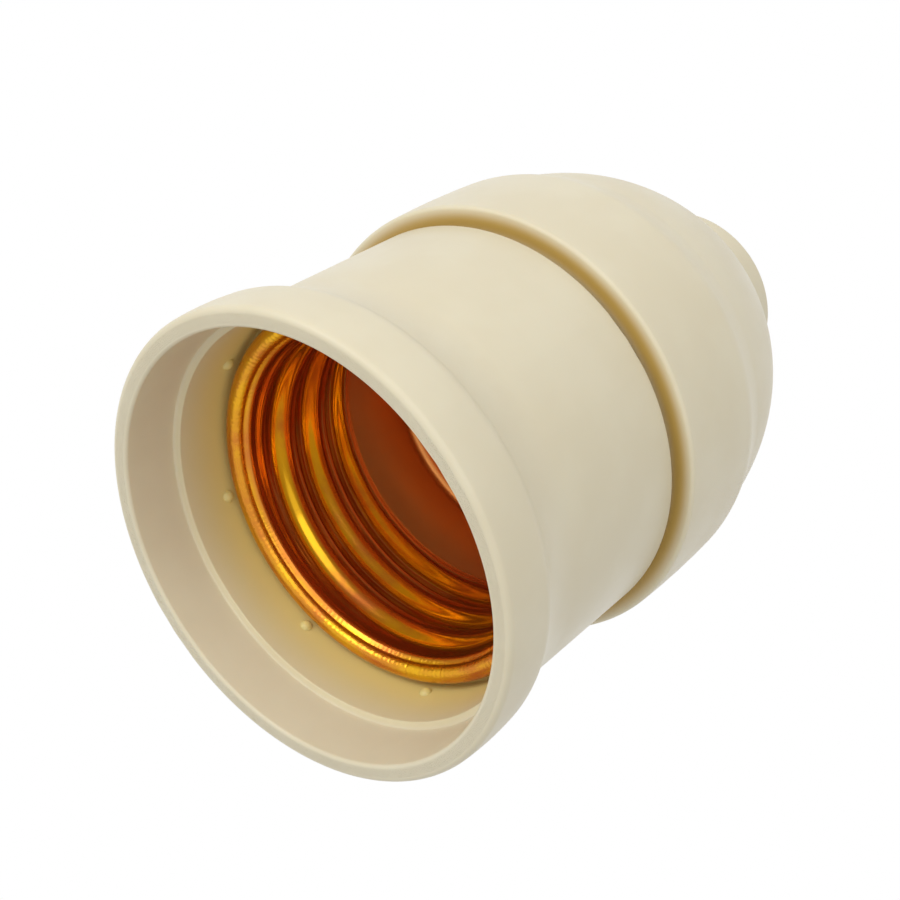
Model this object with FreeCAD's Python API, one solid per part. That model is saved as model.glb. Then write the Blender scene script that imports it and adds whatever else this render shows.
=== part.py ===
import FreeCAD, Part
import math
import os

# A pendant lamp socket for a 27 mm round-thread lamp. The origin is the centre of the mouth,
# +Z runs along the axis from the mouth to the neck that the cord enters by.

# Lamp thread, in the rolled brass shell
thread_pitch = 25.4 / 7
thread_crest_radius = 12.53
thread_depth = 0.75
sheet = 0.3
thread_height = 13.35
thread_angle = 90.0
thread_from = 10.3
thread_to = 20.0
thread_fade = 1.4

# Brass shell round the thread
bead_roll = 0.75
bead_front = 8.67
bead_overhang = 0.47
bead_open_end = 70
throat_rise = 0.5
shell_depth = 28.2
tail_radius = 12.9
tail_bend = 0.9
window_radius = 9.0

# Skirt, the front moulding
shell_clearance = 0.365
bead_gap = 0.48
seat_gap = 0.1
skirt_wall = 1.2
waist_hollow = 0.05
rim_step = 1.25
rim_band = 3.95
rim_bulge = 0.07
rim_edge = 0.5
rim_knee = 0.36
rim_knee_rise = 1.1
rim_knee_swell = 0.09
rim_sweep = 0.24
rim_sweep_rise = 3.0
rim_blend = 10.2
lip_wall = 1.5
lip_edge = 0.3
mouth_step = 4.6
step_width = 0.52
step_edge = 0.14
mouth_draft = 0.2
seat_fillet = 0.3
skirt_height = 22.7
skirt_edge = 0.3
spigot_wall = 1.1
pip_count = 8
pip_radius = 0.55
pip_rise = 0.3
pip_angle = 25.7

# Cap, the domed back
cap_gap = 0.8
cap_thread_gap = 0.7
cap_wall = 2.4
cap_edge = 0.35
cap_bulge = 0.08
cap_shoulder = 1.8
cap_round = 1.1
cap_round_drop = 0.18
cap_round_middle = 0.05
cap_cone = 2.1
cap_cone_drop = 0.85
dome_radius = 23.16
dome_lean = 0.12
dome_rise = 15.0
dome_wall = 2.3
neck_radius = 8.6
neck_height = 5.2
neck_blend = 1.4
neck_edge = 0.5
lead_in = 0.4

# Contact base
boss_clearance = 0.3
boss_rise = 1.8
contact_space = 1.0
base_flange = 2.8
base_body = 12.3
base_rise = 2.6
press_gap = 0.2
barrier_rise = 6.0
barrier_width = 2.2
barrier_half_length = 10.5
key_width = 4.0
key_depth = 1.4
key_clearance = 0.15

# Contacts and terminals
rivet_place = 4.2
rivet_radius = 1.2
rivet_head = 1.8
rivet_head_rise = 0.6
rivet_crown = 0.6
rivet_clearance = 0.05
strip = 0.4
leaf_width = 4.6
leaf_bend = 0.75
leaf_reach = 7.2
leaf_far_end = 3.0
leaf_tab_end = 2.6
leaf_rise = 1.0
tip_radius = 2.3
tip_rise = 0.7
tip_crown = 0.75
tip_shank = 0.8
tip_rivet = 1.28
side_reach = 11.6
side_width = 5.0
terminal_plate = 1.2
terminal_width = 6.4
terminal_inner = 1.9
terminal_outer = 12.0
screw_place = 8.8
screw_radius = 1.5
screw_length = 5.0
screw_point = 0.4
screw_head = 2.4
screw_head_rise = 1.9
screw_slot = 0.6
screw_slot_depth = 0.9
screw_edge = 0.3
screw_clearance = 0.05
washer = 0.8
washer_size = 5.0

# Cord bush in the neck
bush_bore = 3.6
bush_wall = 1.9
bush_clearance = 0.08
bush_flange = 1.8
bush_flange_rise = 1.2
bush_round = 0.5
bush_inset = 0.4

# Sizes that follow from those above
thread_root_radius = thread_crest_radius + thread_depth
skirt_bore = thread_root_radius + sheet + shell_clearance
bead_centre_radius = skirt_bore + bead_overhang
bead_centre_height = bead_front + bead_roll
seat_height = bead_front + 2 * bead_roll + seat_gap
seat_wall_radius = bead_centre_radius + bead_roll + bead_gap
body_radius = seat_wall_radius + skirt_wall
rim_radius = body_radius + rim_step
step_radius = seat_wall_radius + mouth_draft
spigot_radius = skirt_bore + spigot_wall
boss_radius = skirt_bore - boss_clearance
base_front = shell_depth + contact_space
spigot_end = base_front + boss_rise
flange_top = spigot_end + base_flange
base_top = flange_top + base_rise
cap_face = skirt_height + cap_gap
cap_bore = spigot_radius + cap_thread_gap
cap_radius = cap_bore + cap_wall
ledge_height = flange_top + press_gap
cap_band_end = ledge_height - cap_shoulder
crease_height = cap_band_end + cap_round + cap_cone
crease_radius = cap_radius - cap_cone_drop
dome_end = crease_height + dome_rise
neck_end = dome_end + neck_height
terminal_top = base_top + terminal_plate
washer_top = terminal_top + washer
bush_radius = bush_bore + bush_wall
neck_bore = bush_radius + bush_clearance
leaf_front = base_front - strip - 2 * leaf_bend - leaf_rise


def point(radius, height):
    return FreeCAD.Vector(radius, 0, height)


def rounded_corner(before, corner, after, radius):
    """The two ends of the arc that rounds a corner, and the arc's middle."""
    back = (before - corner).normalize()
    ahead = (after - corner).normalize()
    half = back.getAngle(ahead) / 2
    reach = radius / math.tan(half)
    bisector = (back + ahead).normalize()
    middle = corner + bisector * (radius / math.sin(half) - radius)
    return corner + back * reach, middle, corner + ahead * reach


def section(steps):
    """A closed face in the XZ plane. A step is (r, z), (r, z, corner radius) or
    (r and z on an arc, r and z at its end)."""
    places = [point(step[-2], step[-1]) if len(step) == 4 else point(step[0], step[1]) for step in steps]
    edges = []
    pen = places[0]
    first = pen
    for index, step in enumerate(steps):
        place = places[index]
        if len(step) == 3:
            ahead = places[(index + 1) % len(places)]
            begin, middle, end = rounded_corner(places[index - 1], place, ahead, step[2])
            if index == 0:
                first = begin
            else:
                edges.append(Part.LineSegment(pen, begin).toShape())
            edges.append(Part.Arc(begin, middle, end).toShape())
            pen = end
        elif len(step) == 4:
            edges.append(Part.Arc(pen, point(step[0], step[1]), place).toShape())
            pen = place
        elif index > 0:
            edges.append(Part.LineSegment(pen, place).toShape())
            pen = place
    if pen.distanceToPoint(first) > 1e-6:
        edges.append(Part.LineSegment(pen, first).toShape())
    return Part.Face(Part.Wire(edges))


def turned(steps):
    """The solid that a section sweeps in one turn about the Z axis."""
    return section(steps).revolve(FreeCAD.Vector(0, 0, 0), FreeCAD.Vector(0, 0, 1), 360)


def cylinder(radius, low, high, x=0.0, y=0.0):
    return Part.makeCylinder(radius, high - low, FreeCAD.Vector(x, y, low))


def block(x_low, x_high, y_low, y_high, z_low, z_high):
    size = (x_high - x_low, y_high - y_low, z_high - z_low)
    return Part.makeBox(*size, FreeCAD.Vector(x_low, y_low, z_low))


def key_slots(width, depth, bottom, top):
    """Two bars, one each side of the axis along Y, that reach past the spigot's wall."""
    reach = spigot_radius + depth
    bars = [block(-width / 2, width / 2, skirt_bore - depth, reach, bottom, top)]
    bars.append(block(-width / 2, width / 2, -reach, depth - skirt_bore, bottom, top))
    return bars[0].fuse(bars[1])


def skirt():
    rim_top = point(rim_radius - rim_edge, 0)
    corner = rim_edge * (1 - math.sqrt(0.5))
    lip_radius = rim_radius - lip_wall
    knee = point(rim_radius - rim_knee, rim_band + rim_knee_rise)
    body = turned([
        (lip_radius, 0, lip_edge),
        (rim_top.x, 0),
        (rim_radius - corner, corner, rim_radius, rim_edge),
        (rim_radius + rim_bulge, rim_band * 0.6, rim_radius, rim_band),
        (rim_radius - rim_knee_swell, rim_band + rim_knee_rise / 2, knee.x, knee.z),
        (body_radius + rim_sweep, rim_band + rim_sweep_rise, body_radius - waist_hollow, rim_blend),
        (body_radius + waist_hollow, skirt_height, skirt_edge),
        (spigot_radius, skirt_height),
        (spigot_radius, spigot_end, lead_in),
        (skirt_bore, spigot_end),
        (skirt_bore, seat_height),
        (seat_wall_radius, seat_height, seat_fillet),
        (step_radius, mouth_step + mouth_draft, step_edge),
        (step_radius + step_width, mouth_step, step_edge),
    ])
    body = body.cut(key_slots(key_width, key_depth, spigot_end - key_depth, spigot_end + key_depth))
    pips = []
    for index in range(pip_count):
        angle = math.radians(pip_angle + 360.0 / pip_count * index)
        radius = seat_wall_radius + pip_radius - pip_rise
        centre = FreeCAD.Vector(radius * math.cos(angle), radius * math.sin(angle), bead_front)
        pips.append(Part.makeSphere(pip_radius, centre))
    return body.fuse(pips).removeSplitter()


def rolled_wave(distance):
    """Height of the thread's round ridge over its root, at an axial distance from a crest."""
    return thread_depth * (1 + math.cos(2 * math.pi * distance / thread_pitch)) / 2


def smooth(value):
    value = min(max(value, 0.0), 1.0)
    return value * value * (3 - 2 * value)


def shell_line(angle):
    """The middle of the brass sheet at one angle, from the bead's free edge to the window."""
    roll = bead_roll - sheet / 2
    line = []
    for turn in range(bead_open_end, -181, -25):
        bend = math.radians(turn)
        line.append((bead_centre_radius + roll * math.cos(bend), bead_centre_height + roll * math.sin(bend)))
    inner = bead_centre_radius - roll
    root = thread_root_radius + sheet / 2
    tail = tail_radius + sheet / 2
    count = 48
    crest = thread_height + thread_pitch * (angle - thread_angle) / 360.0
    for index in range(1, count + 1):
        height = bead_centre_height + (thread_to + thread_fade - bead_centre_height) * index / count
        wall = inner + (root - inner) * smooth((height - bead_centre_height) / throat_rise)
        ridge = rolled_wave(height - crest) * smooth((height - thread_from) / thread_fade)
        stop = smooth((height - thread_to) / thread_fade)
        line.append(((wall - ridge) * (1 - stop) + tail * stop, height))
    bottom = shell_depth - sheet / 2
    bend_centre = (tail - tail_bend, bottom - tail_bend)
    straight = bend_centre[1] - line[-1][1]
    foot = line[-1][1]
    for share in (0.2, 0.4, 0.6, 0.8, 1.0):
        line.append((tail, foot + straight * share))
    for turn in (22.5, 45, 67.5, 90):
        bend = math.radians(turn)
        line.append((bend_centre[0] + tail_bend * math.cos(bend), bend_centre[1] + tail_bend * math.sin(bend)))
    flat = bend_centre[0] - window_radius
    for share in (0.33, 0.67, 1.0):
        line.append((bend_centre[0] - flat * share, bottom))
    return line


def sheet_loop(line):
    """The closed outline of a sheet round its middle line, with round ends."""
    ahead = []
    behind = []
    for index, place in enumerate(line):
        low = line[max(index - 1, 0)]
        high = line[min(index + 1, len(line) - 1)]
        span = math.hypot(high[0] - low[0], high[1] - low[1])
        normal = ((high[1] - low[1]) / span, (low[0] - high[0]) / span)
        ahead.append((place[0] + normal[0] * sheet / 2, place[1] + normal[1] * sheet / 2))
        behind.append((place[0] - normal[0] * sheet / 2, place[1] - normal[1] * sheet / 2))
    return ahead + behind[::-1]


def screw_shell():
    """One closed surface: the sheet's outline, carried round the axis while the thread climbs."""
    stations = 36
    step = 360.0 / stations
    swell = 3.0 / (2.0 + math.cos(math.radians(step)))
    poles = []
    for station in range(stations):
        angle = station * step
        cosine = math.cos(math.radians(angle)) * swell
        sine = math.sin(math.radians(angle)) * swell
        loop = sheet_loop(shell_line(angle))
        poles.append([FreeCAD.Vector(radius * cosine, radius * sine, height) for radius, height in loop])
    rows = len(poles)
    columns = len(poles[0])
    surface = Part.BSplineSurface()
    surface.buildFromPolesMultsKnots(
        poles, [1] * (rows + 1), [1] * (columns + 1),
        [float(knot) for knot in range(rows + 1)], [float(knot) for knot in range(columns + 1)],
        True, True, 3, 3)
    solid = Part.Solid(Part.Shell([surface.toShape()]))
    if solid.Volume < 0:
        solid.reverse()
    return solid


def dome_point(height, wall=0.0):
    """The dome's radius at a height: an arc that leaves the cone's crease."""
    reach = dome_radius - wall
    centre_radius = crease_radius - dome_radius * math.cos(dome_lean)
    centre_height = crease_height - dome_radius * math.sin(dome_lean)
    return centre_radius + math.sqrt(reach ** 2 - (height - centre_height) ** 2)


def cap():
    middle = (crease_height + dome_end) / 2
    dome_foot = dome_point(dome_end)
    neck_start = dome_end + neck_blend
    round_middle = point(cap_radius - cap_round_middle, cap_band_end + cap_round / 2)
    corner = 1 - math.sqrt(0.5)
    inner_top = dome_end - dome_wall
    inner_middle = (base_top + inner_top) / 2
    inner_foot = dome_point(base_top, dome_wall)
    return turned([
        (cap_bore, cap_face + lead_in),
        (cap_bore + lead_in, cap_face),
        (cap_radius - cap_edge, cap_face),
        (cap_radius - cap_edge * corner, cap_face + cap_edge * corner, cap_radius, cap_face + cap_edge),
        (cap_radius + cap_bulge, (cap_face + cap_band_end) / 2, cap_radius, cap_band_end),
        (round_middle.x, round_middle.z, cap_radius - cap_round_drop, cap_band_end + cap_round),
        (crease_radius, crease_height),
        (dome_point(middle), middle, dome_foot, dome_end),
        (neck_radius + (dome_foot - neck_radius) * 0.25, dome_end + neck_blend * 0.45, neck_radius, neck_start),
        (neck_radius, neck_end, neck_edge),
        (neck_bore, neck_end, bush_round / 2),
        (neck_bore, inner_top),
        (dome_point(inner_top, dome_wall), inner_top),
        (dome_point(inner_middle, dome_wall), inner_middle, inner_foot, base_top),
        (inner_foot, ledge_height),
        (cap_bore, ledge_height),
    ])


def contact_base():
    body = cylinder(boss_radius, base_front, spigot_end)
    body = body.fuse(cylinder(spigot_radius, spigot_end, flange_top))
    body = body.fuse(cylinder(base_body, flange_top, base_top))
    keys = key_slots(key_width - 2 * key_clearance, key_depth, spigot_end - key_depth + key_clearance, spigot_end)
    body = body.fuse(keys.common(cylinder(spigot_radius, base_front, flange_top)))
    barrier = block(-barrier_width / 2, barrier_width / 2, -barrier_half_length, barrier_half_length,
                    base_top, base_top + barrier_rise)
    body = body.fuse(barrier).removeSplitter()
    for side in (-1, 1):
        body = body.cut(cylinder(rivet_radius + rivet_clearance, base_front, base_top, side * rivet_place))
        foot = terminal_top - screw_length - rivet_clearance
        body = body.cut(cylinder(screw_radius + boss_clearance, foot, base_top, side * screw_place))
    return body


def strip_solid(path, width, y=0.0):
    """A strip of sheet whose edge view follows a path of (x, z) points in the XZ plane."""
    edges = []
    for low, high in zip(path, path[1:] + path[:1]):
        if len(high) == 4:
            edges.append(Part.Arc(point(*low[-2:]), point(high[0], high[1]), point(high[2], high[3])).toShape())
        else:
            edges.append(Part.LineSegment(point(*low[-2:]), point(*high)).toShape())
    face = Part.Face(Part.Wire(edges))
    face.translate(FreeCAD.Vector(0, y - width / 2, 0))
    return face.extrude(FreeCAD.Vector(0, width, 0))


def centre_leaf():
    """A strip that is riveted to the base, turns back on itself and rises to the axis."""
    tab = base_front - strip
    near = tab - 2 * leaf_bend
    outer = leaf_bend + strip
    turn = -leaf_reach + outer
    bend_height = base_front - outer
    inner_low = bend_height + leaf_bend
    path = [
        (-leaf_tab_end, base_front),
        (turn, base_front),
        (turn - outer, bend_height, turn, bend_height - outer),
        (turn + leaf_bend, bend_height - outer),
        (-tip_radius, leaf_front),
        (leaf_far_end, leaf_front),
        (leaf_far_end, leaf_front + strip),
        (-tip_radius + strip / 2, leaf_front + strip),
        (turn + leaf_bend, near),
        (turn, near),
        (turn - leaf_bend, bend_height, turn, inner_low),
        (-leaf_tab_end, inner_low),
    ]
    leaf = strip_solid(path, leaf_width)
    leaf = leaf.cut(cylinder(rivet_radius + rivet_clearance, tab - strip, base_front + strip, -rivet_place))
    return leaf.cut(cylinder(tip_shank + rivet_clearance, leaf_front - strip, leaf_front + 2 * strip))


def crown(radius, rise):
    """How far a shallow dome has dropped at half its radius."""
    sphere = (radius ** 2 + rise ** 2) / (2 * rise)
    return sphere - math.sqrt(sphere ** 2 - (radius / 2) ** 2)


def contact_tip():
    front = leaf_front - tip_rise
    dome = tip_rise * tip_crown
    return turned([
        (0, front),
        (tip_radius / 2, front + crown(tip_radius, dome), tip_radius, front + dome),
        (tip_radius, leaf_front),
        (tip_shank, leaf_front),
        (tip_shank, leaf_front + strip),
        (tip_rivet, leaf_front + strip),
        (tip_rivet, leaf_front + 2 * strip),
        (0, leaf_front + 2 * strip),
    ])


def side_contact():
    low = base_front - strip
    path = [
        (rivet_place - rivet_head, base_front),
        (rivet_place - rivet_head, low),
        (rivet_place + rivet_head, low),
        (window_radius + strip, shell_depth),
        (side_reach, shell_depth),
        (side_reach, shell_depth + strip),
        (window_radius + 1.5 * strip, shell_depth + strip),
        (rivet_place + rivet_head + strip / 2, base_front),
    ]
    contact = strip_solid(path, side_width)
    return contact.cut(cylinder(rivet_radius + rivet_clearance, low - strip, base_front + strip, rivet_place))


def rivet(side):
    """A rivet through a contact strip, the base and a terminal plate, with a head at each end."""
    low = base_front - strip
    high = terminal_top
    shoulder = rivet_head_rise * (1 - rivet_crown)
    shank = turned([
        (0, low - rivet_head_rise),
        (rivet_head * rivet_crown, low - rivet_head_rise),
        (rivet_head, low - shoulder),
        (rivet_head, low),
        (rivet_radius, low),
        (rivet_radius, high),
        (rivet_head, high),
        (rivet_head, high + shoulder),
        (rivet_head * rivet_crown, high + rivet_head_rise),
        (0, high + rivet_head_rise),
    ])
    shank.translate(FreeCAD.Vector(side * rivet_place, 0, 0))
    return shank


def terminal(side):
    """A plate on the base's back, with a rivet hole, a screw hole and two turned-up wire guides."""
    low, high = sorted((side * terminal_inner, side * terminal_outer))
    half = terminal_width / 2
    plate = block(low, high, -half, half, base_top, terminal_top)
    guide_inner = side * (screw_place + washer_size / 2 + 2 * screw_clearance)
    guide_outer = side * terminal_outer
    low, high = sorted((guide_inner, guide_outer))
    guide = block(low, high, -half, half, terminal_top, washer_top)
    gap = block(low, high, -screw_radius, screw_radius, terminal_top, washer_top)
    plate = plate.fuse(guide.cut(gap)).removeSplitter()
    plate = plate.cut(cylinder(rivet_radius + rivet_clearance, base_top, terminal_top, side * rivet_place))
    return plate.cut(cylinder(screw_radius + screw_clearance, base_top, terminal_top, side * screw_place))


def clamp_washer(side):
    x = side * screw_place
    half = washer_size / 2
    plate = block(x - half, x + half, -half, half, terminal_top, washer_top)
    upright = [edge for edge in plate.Edges if abs(edge.tangentAt(edge.FirstParameter).z) > 0.9]
    plate = plate.makeFillet(washer_size / 8, upright)
    return plate.cut(cylinder(screw_radius + screw_clearance, terminal_top, washer_top, x))


def terminal_screw(side):
    """A cheese-head screw: its thread is too fine to matter here."""
    head_top = washer_top + screw_head_rise
    body = turned([
        (0, terminal_top - screw_length),
        (screw_radius - screw_point, terminal_top - screw_length),
        (screw_radius, terminal_top - screw_length + screw_point),
        (screw_radius, washer_top),
        (screw_head, washer_top),
        (screw_head, head_top, screw_edge),
        (0, head_top),
    ])
    slot = block(-screw_slot / 2, screw_slot / 2, -screw_head, screw_head,
                 head_top - screw_slot_depth, head_top)
    body = body.cut(slot)
    body.translate(FreeCAD.Vector(side * screw_place, 0, 0))
    return body


def cord_bush():
    inner_top = dome_end - dome_wall
    top = neck_end - bush_inset
    flange_high = inner_top - press_gap
    flange_low = flange_high - bush_flange_rise
    return turned([
        (bush_bore, flange_low, bush_round),
        (bush_radius + bush_flange, flange_low, bush_round / 2),
        (bush_radius + bush_flange, flange_high),
        (bush_radius, flange_high),
        (bush_radius, top),
        (bush_bore, top, bush_round),
    ])


def build():
    os.makedirs("parts", exist_ok=True)
    pieces = {
        "skirt": skirt(),
        "screw_shell": screw_shell(),
        "cap": cap(),
        "contact_base": contact_base(),
        "centre_leaf": centre_leaf(),
        "contact_tip": contact_tip(),
        "side_contact": side_contact(),
        "live_rivet": rivet(-1),
        "neutral_rivet": rivet(1),
        "live_terminal": terminal(-1),
        "neutral_terminal": terminal(1),
        "live_washer": clamp_washer(-1),
        "neutral_washer": clamp_washer(1),
        "live_screw": terminal_screw(-1),
        "neutral_screw": terminal_screw(1),
        "cord_bush": cord_bush(),
    }
    for name, shape in pieces.items():
        shape.exportStep("parts/" + name + ".step")
        print(name, "valid", shape.isValid(), "solids", len(shape.Solids), "volume", round(shape.Volume, 2))


build()
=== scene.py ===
"""Dresses the pendant lamp socket: finishes, moulded threads, the sprung leaf and the stage."""

import math

import bmesh
import bpy
from bpy.props import FloatProperty, FloatVectorProperty, IntProperty, PointerProperty
from mathutils import Color, Matrix, Vector


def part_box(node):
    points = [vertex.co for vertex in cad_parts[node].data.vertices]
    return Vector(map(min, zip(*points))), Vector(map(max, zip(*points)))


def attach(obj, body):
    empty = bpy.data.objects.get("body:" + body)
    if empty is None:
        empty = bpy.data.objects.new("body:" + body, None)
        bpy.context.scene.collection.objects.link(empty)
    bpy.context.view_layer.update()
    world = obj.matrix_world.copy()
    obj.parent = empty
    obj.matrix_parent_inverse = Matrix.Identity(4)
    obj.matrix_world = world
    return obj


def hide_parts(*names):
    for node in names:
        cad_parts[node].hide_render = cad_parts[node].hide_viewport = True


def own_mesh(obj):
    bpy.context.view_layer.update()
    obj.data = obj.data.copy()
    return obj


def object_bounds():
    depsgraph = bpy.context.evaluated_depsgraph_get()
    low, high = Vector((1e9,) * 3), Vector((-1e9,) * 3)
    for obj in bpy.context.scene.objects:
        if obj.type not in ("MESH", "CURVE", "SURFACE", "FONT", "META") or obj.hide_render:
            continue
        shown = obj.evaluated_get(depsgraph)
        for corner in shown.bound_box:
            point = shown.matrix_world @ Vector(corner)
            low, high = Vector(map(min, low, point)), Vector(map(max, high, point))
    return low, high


bl_info = {
    "name": "Pendant Lamp Socket",
    "version": (1, 0, 0),
    "blender": (4, 5, 0),
    "location": "3D View > Sidebar > Lamp Socket",
    "description": "Finishes, threads, contacts and stage of a pendant lamp socket",
    "category": "Object",
}

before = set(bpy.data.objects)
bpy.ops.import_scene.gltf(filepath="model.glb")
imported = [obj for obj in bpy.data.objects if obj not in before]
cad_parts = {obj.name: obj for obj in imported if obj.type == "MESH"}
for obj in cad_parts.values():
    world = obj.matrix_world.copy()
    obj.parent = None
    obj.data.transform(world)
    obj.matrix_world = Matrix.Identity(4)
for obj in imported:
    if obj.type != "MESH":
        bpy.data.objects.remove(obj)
cad_bounds = [list(corner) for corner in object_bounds()]
MM = 0.001
SHARP_ANGLE = math.radians(30)
SAME_PLACE = 0.0001 * MM
# The part of a noise's range that most of its values fall in.
NOISE_LOW = 0.3
NOISE_HIGH = 0.7
# The far side, +Y, in turns from +X.
FAR_SIDE = 0.25


def linear(red, green, blue):
    """A colour read as 0 to 255 on a screen, as the linear colour that a shader takes."""
    shares = (value / 255 for value in (red, green, blue))
    return tuple(share / 12.92 if share <= 0.04045 else ((share + 0.055) / 1.055) ** 2.4
                 for share in shares)


def colour(name, description, *screen_colour):
    return FloatVectorProperty(name=name, description=description, subtype="COLOR", size=3,
                               min=0.0, max=1.0, default=linear(*screen_colour))


def length(name, description, millimetres):
    return FloatProperty(name=name, description=description, default=millimetres * MM,
                         min=0.0, unit="LENGTH", subtype="DISTANCE", precision=5)


def amount(name, description, default, **settings):
    return FloatProperty(name=name, description=description, default=default, min=0.0, **settings)


def whole(name, description, default, least, most):
    return IntProperty(name=name, description=description, default=default, min=least, max=most)


def direction(name, description, default):
    return FloatVectorProperty(name=name, description=description, default=default,
                               subtype="DIRECTION")


class SocketFinish(bpy.types.PropertyGroup):
    """Colours and grain of the socket's finishes."""

    ivory: colour("Ivory", "Skirt and cap where palest", 234, 224, 195)
    ivory_shade: colour("Ivory shade", "Skirt and cap in their faint patches", 231, 220, 190)
    # Painted light, not heat: this ivory is painted warm light bounced from the brass and walls
    # inside the mouth.
    ivory_bounce: colour("Bounce-lit ivory", "Painted warm light bounced inside the mouth", 234, 216, 142)
    # Painted shade: this colour darkens the groove between the skirt and the cap.
    seam_shade: colour("Seam shade", "Painted shade in the seam under the cap", 198, 164, 88)
    patch_size: length("Patch size", "Distance between the faint patches", 7.0)
    grain_size: length("Grain size", "Size of the fine grain", 0.22)
    shell_gold: colour("Shell brass", "Rolled brass of the screw shell", 234, 177, 34)
    # The tarnish colour is both real dull patches and painted shade on the thread between the
    # painted highlight bands; the three sizes below place that painted highlight on the front
    # flanks.
    shell_tarnish_and_shade: colour("Shell tarnish and shade", "Rolled brass where it has dulled, and painted shade on the thread", 202, 114, 50)
    highlight_place: amount("Highlight place", "Pitches from a crest to the painted highlight", 0.33, max=1.0)
    highlight_width: amount("Highlight width", "Pitches that the painted highlight covers", 0.32, max=0.9)
    highlight_from: length("Highlight from", "Height where the painted highlight starts", 10.6)
    # Painted shade: the brass deep in the shell is darkened from the height below.
    shell_back_shade: colour("Shell back shade", "Painted shade on the brass deep in the shell", 212, 138, 74)
    back_shade_from: length("Back shade from", "Height where the painted back shade starts", 20.2)
    spring_gold: colour("Spring brass", "Contact strips and contact stud", 236, 203, 128)
    terminal_gold: colour("Terminal brass", "Terminal plates and rivets", 228, 196, 122)
    plating: colour("Plating", "Screws and washers", 214, 213, 209)
    porcelain: colour("Porcelain", "Contact base", 240, 238, 231)
    bush_tone: colour("Bush", "Insulating bush in the neck", 214, 202, 172)
    crimp_count: whole("Crimps", "Pleats round the bead", 30, 3, 90)
    flute_count: whole("Flutes", "Fine marks round the bead", 210, 10, 720)
    bead_depth: length("Bead depth", "From the shell's foot to the bead's back", 1.2)
    speck_size: length("Speck size", "Distance between the bead's dents", 0.3)
    # Where the painted warm bounce light falls inside the mouth.
    bounce_radius: length("Bounce radius", "Radius where the painted bounce light starts", 15.2)
    bounce_height: length("Bounce height", "Height where the painted bounce light starts", 9.8)
    bounce_reach: length("Bounce reach", "How far the painted bounce light spreads", 7.0)
    bounce_core: length("Bounce core", "How far the painted bounce light is full", 0.6)
    bounce_limit: length("Bounce limit", "Radius where the painted bounce light ends", 16.1)
    # Where the painted shade in the groove under the cap falls.
    seam_radius: length("Seam radius", "Radius of the seam's painted shade", 16.9)
    seam_height: length("Seam height", "Height of the stained seam", 23.6)
    seam_reach: length("Seam reach", "How far the seam's painted shade spreads", 1.2)
    seam_core: length("Seam core", "How far the seam's painted shade is full", 0.1)


class SocketThreads(bpy.types.PropertyGroup):
    """Sizes of the moulded thread that holds the cap on the skirt."""

    pitch: length("Pitch", "Rise of the cap in one turn", 2.5)
    ridge_foot: length("Ridge foot", "Width of the ridge at the wall", 1.15)
    ridge_top: length("Ridge top", "Width of the ridge at its crest", 0.5)
    spigot_ridge: length("Spigot ridge", "Height of the ridge on the spigot", 0.46)
    cap_ridge: length("Cap ridge", "Height of the ridge in the cap's bore", 0.44)
    first_turn: length("First turn", "From the cap's open face to the ridge's start", 1.3)
    end_gap: length("End gap", "From the ridge's end to the spigot's end", 0.9)
    cap_turns: amount("Cap turns", "Turns of the ridge in the cap's bore", 2.2)
    steps: whole("Steps", "Steps of the ridge in one turn", 120, 12, 360)


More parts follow.
